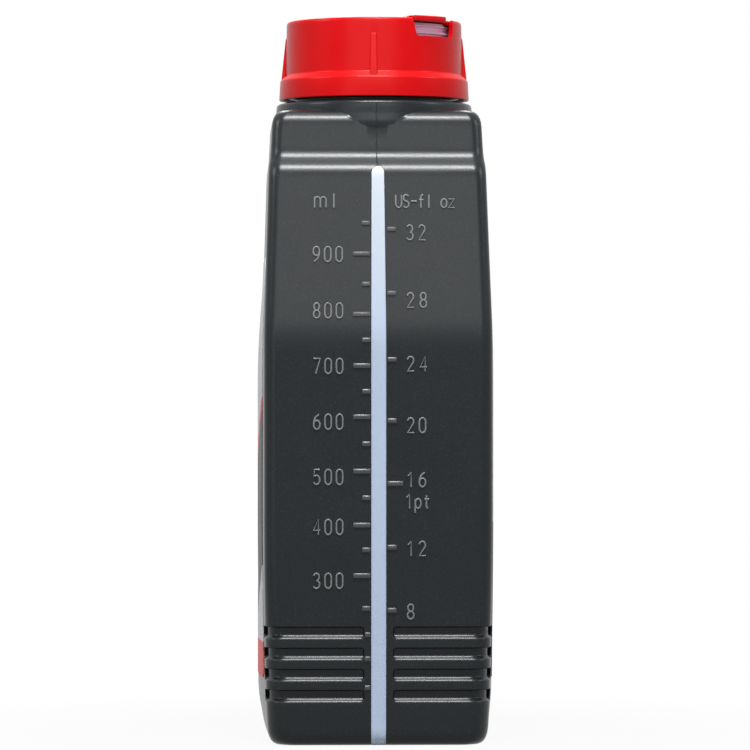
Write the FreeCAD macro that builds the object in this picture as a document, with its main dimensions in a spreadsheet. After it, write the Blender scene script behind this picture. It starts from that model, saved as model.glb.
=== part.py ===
import FreeCAD
import Part
import Sketcher
import math
import os

# Motor oil bottle of about one litre, with a flip-top screw closure.
# Origin at the centre of the base, +Z up, millimetres.
# The narrow face with the view strip looks towards -Y, the front label towards -X.

SIZES = [
    # The blown body: half widths (X) and half depths (Y) where its faces change direction.
    ("base_half_width", 33.75),
    ("base_half_depth", 44.3),
    ("body_half_width", 35.25),
    ("body_half_depth", 45.8),
    ("ledge_half_width", 33.7),
    ("ledge_half_depth", 36.85),
    ("block_half_width", 33.1),
    ("block_half_depth", 32.75),
    ("crown_half_width", 32.8),
    ("crown_half_depth", 30.6),
    ("hip_run", 12.0),
    ("taper_top", 50.0),
    ("crease_height", 126.4),
    ("ledge_bottom", 178.3),
    ("ledge_top", 182.2),
    ("crown_height", 194.6),
    ("hip_height", 197.6),
    ("wall", 1.1),
    ("floor", 1.6),
    ("corner_radius", 4.0),
    ("base_corner_radius", 7.0),
    ("base_round", 5.5),
    ("crease_round", 3.0),
    ("ledge_round", 2.6),
    ("foot_round", 2.4),
    ("crown_round", 3.3),
    # The bulged label panels on the two broad faces.
    ("panel_rise", 1.4),
    ("panel_half_span", 42.0),
    ("panel_low", 2.5),
    ("panel_full_low", 18.0),
    ("panel_low_inset", 0.45),
    ("panel_full_high", 115.0),
    ("panel_high", 152.0),
    # Four grooves round the foot of each narrow face.
    ("groove_low", 13.5),
    ("groove_pitch", 6.5),
    ("groove_height", 3.7),
    ("groove_lip", 1.1),
    ("groove_depth", 1.1),
    ("groove_land", 9.3),
    ("groove_end", 36.6),
    # View strip of natural plastic, and the graduation bars beside it.
    ("strip_width", 4.85),
    ("strip_top_width", 4.1),
    ("strip_top", 178.9),
    ("bar_height", 1.3),
    ("bar_rise", 0.45),
    ("bar_long", 5.5),
    ("bar_short", 2.9),
    ("bar_pint", 4.9),
    ("bar_land", 1.7),
    # Collar and neck.
    ("collar_radius", 31.1),
    ("collar_top_radius", 30.75),
    ("collar_low", 186.0),
    ("collar_top", 199.7),
    ("collar_round", 1.3),
    ("neck_radius", 24.4),
    ("neck_bore", 22.4),
    ("mouth_height", 212.0),
    ("bead_radius", 27.0),
    ("bead_height", 201.0),
    ("bead_thick", 1.6),
    ("thread_pitch", 5.0),
    ("thread_turns", 1.4),
    ("cap_thread_turns", 1.1),
    ("thread_depth", 1.1),
    ("thread_thick", 1.7),
    ("thread_start", 203.9),
    # Labels.
    ("label_thick", 0.2),
    ("label_low", 20.4),
    ("label_high", 150.3),
    ("label_half_depth", 35.2),
    ("label_corner", 4.0),
    # Cap: radii and heights of its turned form.
    ("cap_turned_by", -2.1),
    ("skirt_radius", 30.05),
    ("skirt_top_radius", 29.73),
    ("cap_foot_radius", 27.93),
    ("cap_radius", 27.65),
    ("skirt_bottom", 200.9),
    ("skirt_top", 207.0),
    ("bevel_top", 208.8),
    ("cap_height", 225.6),
    ("rim_round", 1.0),
    ("cap_wall", 1.5),
    ("skirt_wall", 1.4),
    ("cap_bore", 26.0),
    ("sleeve_wall", 1.1),
    ("sleeve_bottom", 203.4),
    ("rib_drop", 5.1),
    ("rib_foot_radius", 29.4),
    ("rib_top_radius", 27.95),
    ("rib_width", 2.6),
    ("rib_top_width", 1.8),
    ("notch_angle", 45.6),
    ("notch_drop", 5.6),
    ("notch_top_width", 18.2),
    ("notch_floor_width", 16.2),
    # Seal ring between the mouth and the pouring insert.
    ("seal_thick", 1.2),
    ("seal_outer", 24.6),
    # Pouring insert.
    ("flange_thick", 1.5),
    ("flange_gap", 0.1),
    ("keeper_thick", 1.2),
    ("keeper_reach", 1.1),
    ("dam_radius", 24.4),
    ("dam_wall", 1.6),
    ("dam_ridge", 0.4),
    ("ridge_drop", 4.4),
    ("deck_thick", 1.2),
    ("spout_radius", 13.2),
    ("spout_top_radius", 12.4),
    ("spout_wall", 1.1),
    ("drain_width", 4.0),
    # Flip lid.
    ("lid_gap", 0.3),
    ("lid_thick", 1.5),
    ("lid_clear", 0.3),
    ("tab_start", -18.3),
    ("tab_end", 9.8),
    ("tab_proud", 0.8),
    ("tab_thick", 1.75),
    ("tab_inner", 21.0),
    ("ramp_angle", 5.4),
    ("plug_depth", 1.9),
    ("plug_gap", 0.35),
    ("plug_wall", 1.1),
    # Snap-in hinge of the lid.
    ("hinge_offset", 25.2),
    ("hinge_drop", 1.7),
    ("knuckle_radius", 1.6),
    ("knuckle_width", 9.0),
    ("pin_radius", 0.9),
    ("pin_gap", 0.05),
    ("pin_length", 2.2),
    ("lug_width", 3.0),
    ("lug_radius", 1.7),
    ("lug_gap", 0.3),
    ("shelf_front", 23.5),
    ("shelf_half_width", 15.0),
    ("rim_lowered_from", 20.5),
    ("shelf_drop", 1.3),
    ("shelf_tall", 5.3),
]

# The closure's upper features are placed by how far they lie below its top.
NOTCH_FLOOR = "sizes.cap_height - sizes.notch_drop"
RIDGE_HEIGHT = "sizes.cap_height - sizes.ridge_drop"
RIB_TOP = "sizes.cap_height - sizes.rib_drop"
SHELF_BOTTOM = "sizes.cap_height - sizes.shelf_drop - sizes.shelf_tall"

# Graduations: height of each bar's middle above the base. The left side counts
# millilitres, the right side fluid ounces, and the last entry on the right is the pint.
# The lowest marks on the left are short, on the land between the grooves and the strip.
LEFT_LONG = [151.6, 132.9, 117.1, 101.4, 84.7, 68.1, 52.6]
LEFT_SHORT = [161.1, 142.2, 125.0, 109.2, 93.1, 76.5, 60.5, 42.5]
RIGHT_SHORT = [159.2, 139.4, 119.0, 100.2, 61.3, 41.9]
RIGHT_PINT = [80.9]
LEFT_LAND = [34.4, 27.0, 18.1]

doc = FreeCAD.newDocument("oil_bottle")
sheet = doc.addObject("Spreadsheet::Sheet", "sizes")
for row, (alias, number) in enumerate(SIZES, start=1):
    sheet.set("A%d" % row, alias)
    sheet.set("B%d" % row, str(number))
    sheet.setAlias("B%d" % row, alias)
doc.recompute()


def size(alias):
    """One driving size, read from the sheet."""
    return float(sheet.get(alias))


def vec(x, y, z=0.0):
    return FreeCAD.Vector(x, y, z)


def feature(label, shape):
    """A sub-part or a cutting form whose shape is worked out in code."""
    item = doc.addObject("Part::Feature", label)
    item.Label = label
    item.Shape = shape
    return item


def rounded_wire(half_x, half_y, radius, height):
    """A level rectangle with four round corners."""
    radius = min(radius, 0.95 * half_x, 0.95 * half_y)
    in_x = half_x - radius
    in_y = half_y - radius
    slant = radius * math.sqrt(0.5)
    edges = []
    corners = [(1, -1), (1, 1), (-1, 1), (-1, -1)]
    ends = []
    for sx, sy in corners:
        along = vec(sx * in_x, sy * half_y, height)
        across = vec(sx * half_x, sy * in_y, height)
        middle = vec(sx * (in_x + slant), sy * (in_y + slant), height)
        first, last = (along, across) if sx * sy < 0 else (across, along)
        ends.append((first, middle, last))
    for number, (first, middle, last) in enumerate(ends):
        edges.append(Part.Arc(first, middle, last).toShape())
        following = ends[(number + 1) % 4][0]
        edges.append(Part.LineSegment(last, following).toShape())
    return Part.Wire(edges)


def rounded_path(points, steps=3):
    """Round each inner point of a path of (values, rounding) with a quadratic curve."""
    made = [points[0][0]]
    last = len(points) - 1
    for place in range(1, last):
        corner, reach = points[place]
        if reach <= 0:
            made.append(corner)
            continue
        sides = []
        for neighbour in (place - 1, place + 1):
            other = points[neighbour][0]
            most = 1.0 if neighbour in (0, last) else 0.48
            length = math.sqrt(sum((a - b) ** 2 for a, b in zip(other[:3], corner[:3])))
            share = min(reach / length, most)
            sides.append([c + share * (o - c) for o, c in zip(other, corner)])
        for step in range(steps + 1):
            t = step / steps
            weights = ((1 - t) ** 2, 2 * t * (1 - t), t ** 2)
            trios = zip(sides[0], corner, sides[1])
            values = [sum(w * v for w, v in zip(weights, trio)) for trio in trios]
            if math.dist(values[:3], made[-1][:3]) > 0.01:
                made.append(values)
    made.append(points[last][0])
    return made


def body_form(inset):
    """The blown body as a solid, or its cavity when inset is the wall thickness."""
    hollow = inset > 0
    floor = size("floor") if hollow else 0.0
    drop = 0.45 * inset
    foot = max(size("base_round") - inset, 0.4)
    corner = size("corner_radius") - inset
    base_corner = size("base_corner_radius") - inset
    base_x = size("base_half_width") - inset
    base_y = size("base_half_depth") - inset
    run = size("hip_run")
    crown_x = size("crown_half_width") - inset
    crown_y = size("crown_half_depth") - inset
    body_x = size("body_half_width") - inset
    body_y = size("body_half_depth") - inset
    ledge_x = size("ledge_half_width") - inset
    ledge_y = size("ledge_half_depth") - inset
    block_x = size("block_half_width") - inset
    block_y = size("block_half_depth") - inset
    points = [
        ([base_x - foot, base_y - foot, floor, base_corner - 0.8 * foot], 0),
        ([base_x, base_y, floor, base_corner], 1.5 * foot),
        ([body_x, body_y, size("taper_top"), corner], 0),
        ([body_x, body_y, size("crease_height"), corner], size("crease_round")),
        ([ledge_x, ledge_y, size("ledge_bottom") - drop, corner], size("ledge_round")),
        ([block_x, block_y, size("ledge_top") - drop, corner], size("foot_round")),
        ([crown_x, crown_y, size("crown_height") - inset, corner], size("crown_round")),
        ([crown_x - run, crown_y - run, size("hip_height") - inset, 0.4 * corner], 0),
    ]
    path = rounded_path(points)
    wires = [rounded_wire(x, y, radius, z) for x, y, z, radius in path]
    return Part.makeLoft(wires, True, True)


def face_depth(z):
    """Distance of the narrow face from the axis at a height."""
    crease = size("crease_height")
    if z <= size("taper_top"):
        share = z / size("taper_top")
        return size("base_half_depth") + share * (size("body_half_depth") - size("base_half_depth"))
    if z <= crease:
        return size("body_half_depth")
    lean = (size("body_half_depth") - size("ledge_half_depth")) / (size("ledge_bottom") - crease)
    return size("body_half_depth") - lean * (z - crease)


def panel_form(lift):
    """Both bulged label panels, raised by lift; a negative lift gives their hollow side."""
    peak = size("body_half_width") + size("panel_rise") + lift
    low, full_low = size("panel_low"), size("panel_full_low")
    full_high, high = size("panel_full_high"), size("panel_high")
    low_x = size("base_half_width") - size("panel_low_inset") + lift
    high_x = size("body_half_width") - 0.75 + lift
    back = 0.5 * peak
    start = vec(low_x, 0, low)
    lower = vec(peak, 0, full_low)
    upper = vec(peak, 0, full_high)
    end = vec(high_x, 0, high)
    # Each end of the profile is an arc that leaves the flat part without a kink.
    low_mid = vec(peak - 0.25 * (peak - low_x), 0, full_low - 0.5 * (full_low - low))
    high_mid = vec(peak - 0.25 * (peak - high_x), 0, full_high + 0.5 * (high - full_high))
    edges = [
        Part.Arc(start, low_mid, lower).toShape(),
        Part.LineSegment(lower, upper).toShape(),
        Part.Arc(upper, high_mid, end).toShape(),
        Part.LineSegment(end, vec(back, 0, high)).toShape(),
        Part.LineSegment(vec(back, 0, high), vec(back, 0, low)).toShape(),
        Part.LineSegment(vec(back, 0, low), start).toShape(),
    ]
    half = size("panel_half_span") + min(lift, 0)
    profile = Part.Face(Part.Wire(edges))
    slab = profile.extrude(vec(0, 2 * half, 0))
    slab.translate(vec(0, -half, 0))
    # Its sides lean in with the narrow faces above the crease.
    crease = size("crease_height")
    narrow = half - (face_depth(crease) - face_depth(high))
    side = [vec(0, -half, 0), vec(0, half, 0), vec(0, half, crease), vec(0, narrow, high),
            vec(0, -narrow, high), vec(0, -half, crease), vec(0, -half, 0)]
    slab = slab.common(Part.Face(Part.makePolygon(side)).extrude(vec(2 * peak, 0, 0)))
    rise = size("panel_rise")
    arc_radius = (size("panel_half_span") ** 2 + rise ** 2) / (2 * rise)
    barrel = Part.makeCylinder(arc_radius, high, vec(peak - arc_radius, 0, 0))
    right = slab.common(barrel)
    left = right.mirror(vec(0, 0, 0), vec(1, 0, 0))
    return [right, left]


def groove_rings(extra, grow):
    """The four grooves as cutting rings; extra and grow give the ridges inside the wall."""
    depth, lip = size("groove_depth"), size("groove_lip")
    height = size("groove_height")
    over = 0.5
    base_x, base_y = size("base_half_width"), size("base_half_depth")
    slope_x = (size("body_half_width") - base_x) / size("taper_top")
    slope_y = (size("body_half_depth") - base_y) / size("taper_top")
    slope_r = (size("base_corner_radius") - size("corner_radius")) / size("taper_top")
    reach = 1.5 * size("body_half_depth")
    land = 0.5 * size("groove_land") - grow
    end = size("groove_end") - grow
    rings = []
    for number in range(4):
        bottom = size("groove_low") + number * size("groove_pitch") - grow
        top = bottom + height + 2 * grow
        stations = [
            (bottom - over, -over * depth / lip),
            (bottom + lip, depth),
            (top - 0.3, depth),
            (top + over, -over * depth / 0.3),
        ]
        wires = []
        for z, inset in stations:
            half_x = base_x + slope_x * z - inset - extra
            half_y = base_y + slope_y * z - inset - extra
            radius = size("base_corner_radius") - slope_r * z - inset - extra
            wires.append(rounded_wire(half_x, half_y, max(radius, 0.5), z))
        core = Part.makeLoft(wires, True, True)
        tall = top - bottom + 2 * over - 0.02
        low = bottom - over + 0.01
        side = reach - land
        zones = [
            Part.makeBox(side, reach - end, tall, vec(land, -reach, low)),
            Part.makeBox(side, reach - end, tall, vec(-reach, -reach, low)),
            Part.makeBox(2 * reach, reach - end, tall, vec(-reach, end, low)),
        ]
        for zone in zones:
            rings.append(zone.cut(core))
    return rings


def graduation_bars():
    """Raised bars on both sides of the view strip, tilted with the face they sit on."""
    edge = 0.5 * size("strip_width")
    lean = math.degrees(math.atan(
        (size("body_half_depth") - size("ledge_half_depth"))
        / (size("ledge_bottom") - size("crease_height"))))
    rows = [
        (LEFT_LONG, -1, size("bar_long")),
        (LEFT_SHORT, -1, size("bar_short")),
        (RIGHT_SHORT, 1, size("bar_short")),
        (RIGHT_PINT, 1, size("bar_pint")),
        (LEFT_LAND, -1, size("bar_land")),
    ]
    rise = size("bar_rise")
    tall = size("bar_height")
    bars = []
    for heights, side, length in rows:
        for z in heights:
            tilt = lean if z > size("crease_height") else 0.0
            left = edge if side > 0 else -edge - length
            bar = Part.makeBox(length, rise + 0.6, tall, vec(left, -rise, -0.5 * tall))
            front_edges = [e for e in bar.Edges if e.BoundBox.YMax < -0.9 * rise]
            bar = bar.makeChamfer(0.6 * rise, front_edges)
            bar.rotate(vec(0, 0, 0), vec(1, 0, 0), -tilt)
            bar.translate(vec(0, -face_depth(z), z))
            bars.append(bar)
    return bars


def turned(points):
    """A ring or a plug turned about the Z axis from (radius, height) points."""
    outline = [vec(radius, 0, z) for radius, z in points]
    outline.append(outline[0])
    face = Part.Face(Part.makePolygon(outline))
    return face.revolve(vec(0, 0, 0), vec(0, 0, 1), 360)


def neck_outside():
    """Collar, neck and support bead, as one turned solid."""
    top = size("collar_top")
    curve = size("collar_round")
    edge = size("collar_top_radius")
    bead = size("bead_height")
    thick = size("bead_thick")
    points = [
        (0, size("collar_low")),
        (size("collar_radius"), size("collar_low")),
        (edge, top - curve),
        (edge - 0.3 * curve, top - 0.3 * curve),
        (edge - curve, top),
        (size("neck_radius"), top),
        (size("neck_radius"), bead),
        (size("bead_radius"), bead + 0.3 * thick),
        (size("bead_radius"), bead + 0.7 * thick),
        (size("neck_radius"), bead + thick),
        (size("neck_radius"), size("mouth_height")),
        (0, size("mouth_height")),
    ]
    return turned(points)


def neck_inside():
    """The hollow of the collar and the bore of the neck."""
    wall = 1.25 * size("wall")
    top = size("collar_top") - wall
    points = [
        (0, size("collar_low")),
        (size("crown_half_depth") - 2 * size("wall"), size("collar_low")),
        (size("crown_half_depth") - 2 * size("wall"), top - 2 * wall),
        (size("neck_bore"), top),
        (size("neck_bore"), size("mouth_height") + 1),
        (0, size("mouth_height") + 1),
    ]
    return turned(points)


def thread(root, crest, start, turns):
    """A helical rib from the root radius to the crest radius."""
    pitch = size("thread_pitch")
    thick = size("thread_thick")
    helix = Part.makeHelix(pitch, pitch * turns, root, 0)
    helix.translate(vec(0, 0, start))
    sink = 0.3 if crest > root else -0.3
    section = Part.makePolygon([
        vec(root - sink, 0, start - 0.5 * thick),
        vec(crest, 0, start - 0.25 * thick),
        vec(crest, 0, start + 0.25 * thick),
        vec(root - sink, 0, start + 0.5 * thick),
        vec(root - sink, 0, start - 0.5 * thick),
    ])
    return Part.Wire(helix.Edges).makePipeShell([section], True, True)


def strip_form():
    """Prism that the view strip fills: its outline as seen along Y."""
    low = 0.5 * size("strip_width")
    high = 0.5 * size("strip_top_width")
    top = size("strip_top")
    bend = size("crease_height")
    start = vec(-low, 0, -1)
    edges = [
        Part.LineSegment(start, vec(-low, 0, bend)).toShape(),
        Part.LineSegment(vec(-low, 0, bend), vec(-high, 0, top - high)).toShape(),
        Part.Arc(vec(-high, 0, top - high), vec(0, 0, top), vec(high, 0, top - high)).toShape(),
        Part.LineSegment(vec(high, 0, top - high), vec(low, 0, bend)).toShape(),
        Part.LineSegment(vec(low, 0, bend), vec(low, 0, -1)).toShape(),
        Part.LineSegment(vec(low, 0, -1), start).toShape(),
    ]
    reach = 1.2 * size("body_half_depth")
    inner = size("base_half_depth") - size("base_round")
    prism = Part.Face(Part.Wire(edges)).extrude(vec(0, -(reach - inner), 0))
    prism.translate(vec(0, -inner, 0))
    back = size("ledge_half_depth") - 2 * size("wall") - 3
    upper = Part.Face(Part.Wire(edges)).extrude(vec(0, -(reach - back), 0))
    upper.translate(vec(0, -back, 0))
    keep = Part.makeBox(20, reach, top, vec(-10, -reach, size("groove_low")))
    return prism.fuse(upper.common(keep))


def part_design_body(label):
    body = doc.addObject("PartDesign::Body", label + "_body")
    body.Label = label + " body"
    return body


def origin_item(body, role):
    """One of the body's own origin planes or axes."""
    for item in body.Origin.OriginFeatures:
        if item.Role == role:
            return item
    raise ValueError(role)


def polygon_sketch(body, name, points, turn=None, lift=None):
    """A closed outline whose corners are held by expressions in the sheet's sizes.

    It stands upright, or lies level at the height lift, and turn swings it about the axis."""
    sketch = body.newObject("Sketcher::SketchObject", name)
    level = lift is not None
    sketch.AttachmentSupport = (origin_item(body, "XY_Plane" if level else "XZ_Plane"), "")
    sketch.MapMode = "FlatFace"
    if turn is not None:
        axis = vec(0, 0, 1) if level else vec(0, 1, 0)
        height = sketch.evalExpression(lift) if level else 0.0
        turned_by = FreeCAD.Rotation(axis, sketch.evalExpression(turn))
        sketch.AttachmentOffset = FreeCAD.Placement(vec(0, 0, height), turned_by)
        sketch.setExpression("AttachmentOffset.Rotation.Angle", "(" + turn + ") * 1 deg")
    if level:
        sketch.setExpression("AttachmentOffset.Base.z", lift)
    corners = [vec(sketch.evalExpression(x), sketch.evalExpression(y)) for x, y in points]
    count = len(corners)
    lines = [Part.LineSegment(corners[i], corners[(i + 1) % count]) for i in range(count)]
    sketch.addGeometry(lines, False)
    for i in range(count):
        sketch.addConstraint(Sketcher.Constraint("Coincident", i, 2, (i + 1) % count, 1))
    for i, (x, y) in enumerate(points):
        for kind, value, text in (("DistanceX", corners[i].x, x), ("DistanceY", corners[i].y, y)):
            place = sketch.addConstraint(Sketcher.Constraint(kind, -1, 1, i, 1, value))
            sketch.setExpression("Constraints[%d]" % place, text)
    return sketch


def revolve(body, name, points):
    sketch = polygon_sketch(body, name + "_outline", points)
    turned_form = body.newObject("PartDesign::Revolution", name)
    turned_form.Profile = sketch
    turned_form.ReferenceAxis = (sketch, ["V_Axis"])
    turned_form.Angle = 360
    return turned_form


def pad_or_pocket(body, kind, name, sketch, length, both_ways=False, reversed_way=False):
    cut = body.newObject("PartDesign::" + kind, name)
    cut.Profile = sketch
    cut.Midplane = both_ways
    cut.Reversed = reversed_way
    cut.setExpression("Length", length)
    return cut


def make_seal():
    """Ring of soft plastic between the neck's mouth and the pouring insert."""
    body = part_design_body("seal_ring")
    low = "sizes.mouth_height"
    high = "sizes.mouth_height + sizes.seal_thick"
    revolve(body, "seal_form", [
        ("sizes.neck_bore", low),
        ("sizes.seal_outer", low),
        ("sizes.seal_outer", high),
        ("sizes.neck_bore", high),
    ])
    return body


FLANGE_LOW = "sizes.mouth_height + sizes.seal_thick"
FLANGE_HIGH = FLANGE_LOW + " + sizes.flange_thick"
LID_LOW = "sizes.cap_height - 0.1 - sizes.lid_thick"
DAM_TOP = LID_LOW + " - sizes.lid_clear"
NOTCH_TURN = "sizes.cap_turned_by + sizes.notch_angle"
HINGE_RADIAL = "sizes.cap_turned_by + sizes.notch_angle + 90"


def make_insert():
    """Clear pouring insert: flange, ridged dam that shows in the notch, deck and spout."""
    body = part_design_body("pour_insert")
    dam = "sizes.dam_radius"
    ridge = "sizes.dam_radius + sizes.dam_ridge"
    inner = "sizes.dam_radius - sizes.dam_wall"
    deck = FLANGE_LOW + " + sizes.deck_thick"
    revolve(body, "insert_form", [
        ("sizes.spout_radius - sizes.spout_wall", FLANGE_LOW),
        ("sizes.cap_bore - sizes.flange_gap", FLANGE_LOW),
        ("sizes.cap_bore - sizes.flange_gap", FLANGE_HIGH),
        (dam, FLANGE_HIGH),
        (dam, RIDGE_HEIGHT + " - 0.5"),
        (ridge, RIDGE_HEIGHT + " - 0.2"),
        (ridge, RIDGE_HEIGHT + " + 0.2"),
        (dam, RIDGE_HEIGHT + " + 0.5"),
        (dam, DAM_TOP + " - 0.8"),
        (ridge, DAM_TOP + " - 0.5"),
        (ridge, DAM_TOP),
        (inner, DAM_TOP),
        (inner, deck),
        ("sizes.spout_radius", deck),
        ("sizes.spout_top_radius", DAM_TOP),
        ("sizes.spout_top_radius - sizes.spout_wall", DAM_TOP),
    ])
    back = polygon_sketch(body, "hinge_gap_outline", [
        ("sizes.shelf_front - sizes.lug_gap", SHELF_BOTTOM + " - sizes.lug_gap"),
        ("sizes.cap_bore + 5", SHELF_BOTTOM + " - sizes.lug_gap"),
        ("sizes.cap_bore + 5", "sizes.cap_height"),
        ("sizes.shelf_front - sizes.lug_gap", "sizes.cap_height"),
    ], turn=HINGE_RADIAL)
    pad_or_pocket(body, "Pocket", "hinge_gap", back, "2 * sizes.cap_bore", both_ways=True)
    middle = "0.5 * (sizes.spout_radius + " + inner + ")"
    drain = polygon_sketch(body, "drain_outline", [
        (middle + " - 0.5 * sizes.drain_width", "sizes.mouth_height"),
        (middle + " + 0.5 * sizes.drain_width", "sizes.mouth_height"),
        (middle + " + 0.5 * sizes.drain_width", FLANGE_HIGH),
        (middle + " - 0.5 * sizes.drain_width", FLANGE_HIGH),
    ], turn=HINGE_RADIAL)
    pad_or_pocket(body, "Pocket", "drain", drain, "sizes.drain_width", both_ways=True)
    return body


def make_cap():
    """Red screw cap: flared skirt, four ribs, a notch in the rim and the lid's hinge lugs."""
    body = part_design_body("screw_cap")
    rim_inner = "sizes.cap_radius - sizes.cap_wall"
    keeper_low = FLANGE_HIGH
    keeper_high = FLANGE_HIGH + " + sizes.keeper_thick"
    skirt_inner = "sizes.skirt_radius - sizes.skirt_wall"
    revolve(body, "cap_form", [
        ("sizes.skirt_radius", "sizes.skirt_bottom"),
        ("sizes.skirt_top_radius", "sizes.skirt_top"),
        ("sizes.cap_foot_radius", "sizes.bevel_top"),
        ("sizes.cap_radius", "sizes.cap_height - sizes.rim_round"),
        ("sizes.cap_radius - 0.3 * sizes.rim_round", "sizes.cap_height - 0.3 * sizes.rim_round"),
        ("sizes.cap_radius - sizes.rim_round", "sizes.cap_height"),
        (rim_inner, "sizes.cap_height"),
        (rim_inner, keeper_high),
        ("sizes.cap_bore - sizes.keeper_reach", keeper_high),
        ("sizes.cap_bore - sizes.keeper_reach", keeper_low),
        ("sizes.cap_bore", keeper_low),
        ("sizes.cap_bore", "sizes.sleeve_bottom"),
        ("sizes.cap_bore + sizes.sleeve_wall", "sizes.sleeve_bottom"),
        ("sizes.cap_bore + sizes.sleeve_wall", "sizes.skirt_top"),
        (skirt_inner + " - 0.3", "sizes.skirt_top - 0.8"),
        (skirt_inner, "sizes.skirt_bottom"),
    ])
    foot = rib_section(body, "rib_foot", "sizes.skirt_top - 0.5", "sizes.rib_foot_radius", "sizes.rib_width")
    top = rib_section(body, "rib_end", RIB_TOP, "sizes.rib_top_radius", "sizes.rib_top_width")
    rib = body.newObject("PartDesign::AdditiveLoft", "rib")
    rib.Profile = foot
    rib.Sections = [top]
    rib.Ruled = True
    doc.recompute()
    ribs = body.newObject("PartDesign::PolarPattern", "ribs")
    ribs.Originals = [rib]
    ribs.Axis = (origin_item(body, "Z_Axis"), [""])
    ribs.Angle = 360
    ribs.Occurrences = 4
    body.Tip = ribs
    doc.recompute()
    wide, narrow = "0.5 * sizes.notch_top_width", "0.5 * sizes.notch_floor_width"
    floor = NOTCH_FLOOR
    notch = polygon_sketch(body, "notch_outline", [
        ("-" + wide, "sizes.cap_height + 1"),
        ("-" + narrow, floor + " + 0.7"),
        ("-" + narrow + " + 0.7", floor),
        (narrow + " - 0.7", floor),
        (narrow, floor + " + 0.7"),
        (wide, "sizes.cap_height + 1"),
    ], turn=NOTCH_TURN)
    pad_or_pocket(body, "Pocket", "notch", notch, "2 * sizes.cap_radius", reversed_way=True)
    return body


def rib_section(body, name, height, reach, width):
    """Level section of the rib in front, from inside the wall out to its own radius."""
    root = "sizes.cap_radius - 0.5 * sizes.cap_wall"
    sketch = polygon_sketch(body, name, [
        ("-0.5 * " + width, "-(" + reach + ")"),
        ("0.5 * " + width, "-(" + reach + ")"),
        ("0.5 * " + width, "-(" + root + ")"),
        ("-0.5 * " + width, "-(" + root + ")"),
    ], turn="sizes.cap_turned_by", lift=height)
    return sketch


def hinge_height():
    return size("cap_height") - size("hinge_drop")


def hinge_place(shape):
    """Move a form made along X at the hinge's own origin to the hinge line of the cap."""
    shape.rotate(vec(0, 0, 0), vec(0, 0, 1), size("cap_turned_by") + size("notch_angle") + 180)
    angle = math.radians(size("cap_turned_by") + size("notch_angle") + 180)
    offset = size("hinge_offset")
    shape.translate(vec(offset * math.sin(angle), -offset * math.cos(angle), hinge_height()))
    return shape


def hinge_box(half_width, near, far, low, high):
    """A box at the hinge; near and far count outwards from its line, low and high upwards."""
    box = Part.makeBox(2 * half_width, far - near, high - low, vec(-half_width, -far, low))
    return hinge_place(box)


def hinge_bar(radius, length, middle=0.0):
    """A round bar along the hinge line."""
    start = vec(middle - 0.5 * length, 0, 0)
    return hinge_place(Part.makeCylinder(radius, length, start, vec(1, 0, 0)))


def finish_cap(body):
    """Add the inner thread, the shelf and lugs of the hinge, and clear the lid's way."""
    bore = size("cap_bore")
    screw = thread(bore, bore - size("thread_depth"), size("thread_start") + 0.5 * size("thread_pitch"),
                   size("cap_thread_turns"))
    slot = 0.5 * size("knuckle_width") + size("lug_gap")
    lug = size("lug_width")
    rise = size("hinge_drop") - size("shelf_drop")
    top = size("hinge_drop")
    knuckle = size("knuckle_radius")
    offset = size("hinge_offset")
    out = size("cap_radius") + 2 - offset
    wide = size("shelf_half_width")
    lowered = hinge_box(wide, size("rim_lowered_from") - offset, out, rise, top + 1)
    shelf = hinge_box(wide, size("shelf_front") - offset, out, rise - size("shelf_tall"), rise)
    inside = Part.makeCylinder(size("cap_radius") - 0.5 * size("cap_wall"), size("cap_height"))
    way = hinge_box(slot, -2 * knuckle, out, -knuckle - 0.3, top + 1)
    solid = body.Shape.cut(lowered).fuse(shelf.common(inside))
    for side in (-1, 1):
        solid = solid.fuse(hinge_bar(size("lug_radius"), lug, side * (slot + 0.5 * lug)))
    solid = solid.fuse(screw).cut(way)
    hole = 2 * (slot + size("pin_length") - size("lug_gap") + 0.2)
    return solid.cut(hinge_bar(size("pin_radius") + size("pin_gap"), hole))


def make_lid():
    """Turned form of the flip lid: plate and plug ring."""
    body = part_design_body("flip_lid")
    rim = "sizes.cap_radius - sizes.cap_wall - sizes.lid_gap"
    top = "sizes.cap_height - 0.1"
    plug = "sizes.spout_top_radius - sizes.spout_wall - sizes.plug_gap"
    plug_end = LID_LOW + " - sizes.plug_depth"
    revolve(body, "lid_form", [
        ("0", plug_end + " + 1"),
        ("0", top),
        (rim + " - 0.5", top),
        (rim, top + " - 0.5"),
        (rim, LID_LOW),
        (plug, LID_LOW),
        (plug + " - 0.15", plug_end),
        (plug + " - sizes.plug_wall", plug_end),
        (plug + " - sizes.plug_wall", plug_end + " + 1"),
    ])
    back = polygon_sketch(body, "lid_back_outline", [
        ("sizes.shelf_front - sizes.lug_gap", "sizes.mouth_height"),
        ("sizes.cap_bore + 5", "sizes.mouth_height"),
        ("sizes.cap_bore + 5", "sizes.cap_height + 1"),
        ("sizes.shelf_front - sizes.lug_gap", "sizes.cap_height + 1"),
    ], turn=HINGE_RADIAL)
    pad_or_pocket(body, "Pocket", "lid_back", back, "2 * sizes.cap_bore", both_ways=True)
    return body


def sector(inner, outer, low, high, start, end):
    """A ring sector between two angles counted from the front towards the right."""
    ring = Part.makeCylinder(outer, high - low, vec(0, 0, low), vec(0, 0, 1), end - start)
    ring = ring.cut(Part.makeCylinder(inner, high - low, vec(0, 0, low)))
    ring.rotate(vec(0, 0, 0), vec(0, 0, 1), start - 90)
    return ring


def radial_section(inner, outer, low, high, angle):
    turn = math.radians(angle - 90)
    corners = [(inner, low), (outer, low), (outer, high), (inner, high), (inner, low)]
    return Part.makePolygon([vec(r * math.cos(turn), r * math.sin(turn), z) for r, z in corners])


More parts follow.
